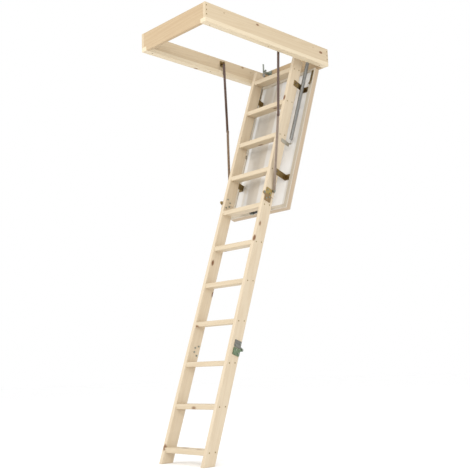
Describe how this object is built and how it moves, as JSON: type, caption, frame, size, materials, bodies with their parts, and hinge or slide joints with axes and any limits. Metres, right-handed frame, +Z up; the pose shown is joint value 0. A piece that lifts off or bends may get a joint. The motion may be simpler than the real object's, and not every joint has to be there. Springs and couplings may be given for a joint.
{
  "type": "folding attic ladder",
  "caption": "Folding timber attic ladder in sections, hung from an insulated hatch in a timber ceiling box, with folding side arms and balance springs.",
  "frame": {"origin": "middle of the hatch box on the ceiling plane, its underside", "axes": "+Z up out of the ceiling opening, +Y towards the hinge end of the box, the way a climber faces, +X across the ladder"},
  "size_m": [0.6, 1.105, 2.65],
  "materials": {
    "box_pine": "satin",
    "lip_pine": "satin",
    "ladder_pine": "satin",
    "white_board": "matt",
    "insulation": "matt",
    "seal_foam": "matt",
    "dark_steel": "satin",
    "black_plastic": "satin",
    "spring_steel": "satin",
    "brassy_zinc": "satin",
    "grey_zinc": "satin"
  },
  "bodies": {
    "box": {"box_end_board_free": "box_pine", "box_end_board_hinge": "box_pine", "box_side_board_left": "box_pine", "box_side_board_right": "box_pine", "box_side_lip_left": "lip_pine", "box_side_lip_right": "lip_pine", "hatch_hinge_leaves": "grey_zinc", "hatch_hinge_pins": "grey_zinc", "arm_top_brackets": "grey_zinc", "spring_posts": "grey_zinc", "latch_strike": "grey_zinc"},
    "hatch": {"top_stile_left": "ladder_pine", "top_stile_right": "ladder_pine", "upper_joint_plates_top": "brassy_zinc", "top_joint_bolts": "grey_zinc", "hatch_rail_left": "ladder_pine", "hatch_rail_right": "ladder_pine", "hatch_rail_hinge_end": "ladder_pine", "hatch_rail_free_end": "ladder_pine", "hatch_inner_board": "white_board", "hatch_outer_board": "white_board", "hatch_insulation": "insulation", "hatch_seal": "seal_foam", "hatch_hinge_straps": "grey_zinc", "hatch_brackets": "grey_zinc", "hatch_corner_straps": "grey_zinc", "hatch_bracket_bolts": "grey_zinc", "arm_foot_studs": "grey_zinc", "spring_anchors": "grey_zinc", "latch_housing": "black_plastic", "tread_01": "ladder_pine", "tread_02": "ladder_pine", "tread_03": "ladder_pine", "tread_04": "ladder_pine"},
    "middle": {"middle_stile_left": "ladder_pine", "middle_stile_right": "ladder_pine", "upper_joint_plates_middle": "brassy_zinc", "lower_joint_plates_middle": "grey_zinc", "middle_joint_bolts": "grey_zinc", "tread_05": "ladder_pine", "tread_06": "ladder_pine", "tread_07": "ladder_pine", "tread_08": "ladder_pine"},
    "bottom": {"bottom_stile_left": "ladder_pine", "bottom_stile_right": "ladder_pine", "lower_joint_plates_bottom": "grey_zinc", "bottom_joint_bolts": "grey_zinc", "tread_09": "ladder_pine", "tread_10": "ladder_pine", "tread_11": "ladder_pine"},
    "latch_bolt": {"latch_bolt": "grey_zinc"},
    "arm_upper_left": {"arm_upper_left": "dark_steel"},
    "arm_lower_left": {"arm_lower_left": "dark_steel"},
    "spring_left": {"balance_spring_left": "spring_steel"},
    "arm_upper_right": {"arm_upper_right": "dark_steel"},
    "arm_lower_right": {"arm_lower_right": "dark_steel"},
    "spring_right": {"balance_spring_right": "spring_steel"}
  },
  "joints": [
    {"name": "hatch_swing", "type": "hinge", "parent": "box", "child": "hatch", "pos_m": [0, 0.549, -0.014], "axis": [-1, 0, 0], "range_deg": [0, 58], "deforming": ["balance_spring_left", "balance_spring_right"]},
    {"name": "middle_fold", "type": "hinge", "parent": "hatch", "child": "middle", "pos_m": [0, -0.00468, -0.91436], "axis": [-1, 0, 0], "range_deg": [0, 180]},
    {"name": "bottom_fold", "type": "hinge", "parent": "middle", "child": "bottom", "pos_m": [0, -0.23836, -1.87208], "axis": [1, 0, 0], "range_deg": [0, 180]},
    {"name": "arm_upper_fold_left", "type": "hinge", "parent": "box", "child": "arm_upper_left", "pos_m": [0, 0.113, 0.084], "axis": [-1, 0, 0], "range_deg": [0, 126.1]},
    {"name": "arm_lower_fold_left", "type": "hinge", "parent": "hatch", "child": "arm_lower_left", "pos_m": [0, 0.07838, -0.90106], "axis": [1, 0, 0], "range_deg": [0, 41.4]},
    {"name": "spring_swing_left", "type": "hinge", "parent": "box", "child": "spring_left", "pos_m": [0, 0.472, 0.104], "axis": [-1, 0, 0], "range_deg": [0, 56.2]},
    {"name": "arm_upper_fold_right", "type": "hinge", "parent": "box", "child": "arm_upper_right", "pos_m": [0, 0.113, 0.084], "axis": [-1, 0, 0], "range_deg": [0, 126.1]},
    {"name": "arm_lower_fold_right", "type": "hinge", "parent": "hatch", "child": "arm_lower_right", "pos_m": [0, 0.07838, -0.90106], "axis": [1, 0, 0], "range_deg": [0, 41.4]},
    {"name": "spring_swing_right", "type": "hinge", "parent": "box", "child": "spring_right", "pos_m": [0, 0.472, 0.104], "axis": [-1, 0, 0], "range_deg": [0, 56.2]},
    {"name": "latch_bolt_slide", "type": "slide", "parent": "hatch", "child": "latch_bolt", "axis": [0, 0.3305, 0.9438], "range_m": [0, 0.012], "stiffness_N_per_m": 300}
  ],
  "couplings": [
    {"joint": "bottom_fold", "follows": "middle_fold", "ratio": 1},
    {"joint": "arm_upper_fold_left", "follows": "hatch_swing", "ratio": 2.1719},
    {"joint": "arm_lower_fold_left", "follows": "hatch_swing", "ratio": 0.71133},
    {"joint": "spring_swing_left", "follows": "hatch_swing", "ratio": 0.96618},
    {"joint": "arm_upper_fold_right", "follows": "hatch_swing", "ratio": 2.1719},
    {"joint": "arm_lower_fold_right", "follows": "hatch_swing", "ratio": 0.71133},
    {"joint": "spring_swing_right", "follows": "hatch_swing", "ratio": 0.96618}
  ]
}
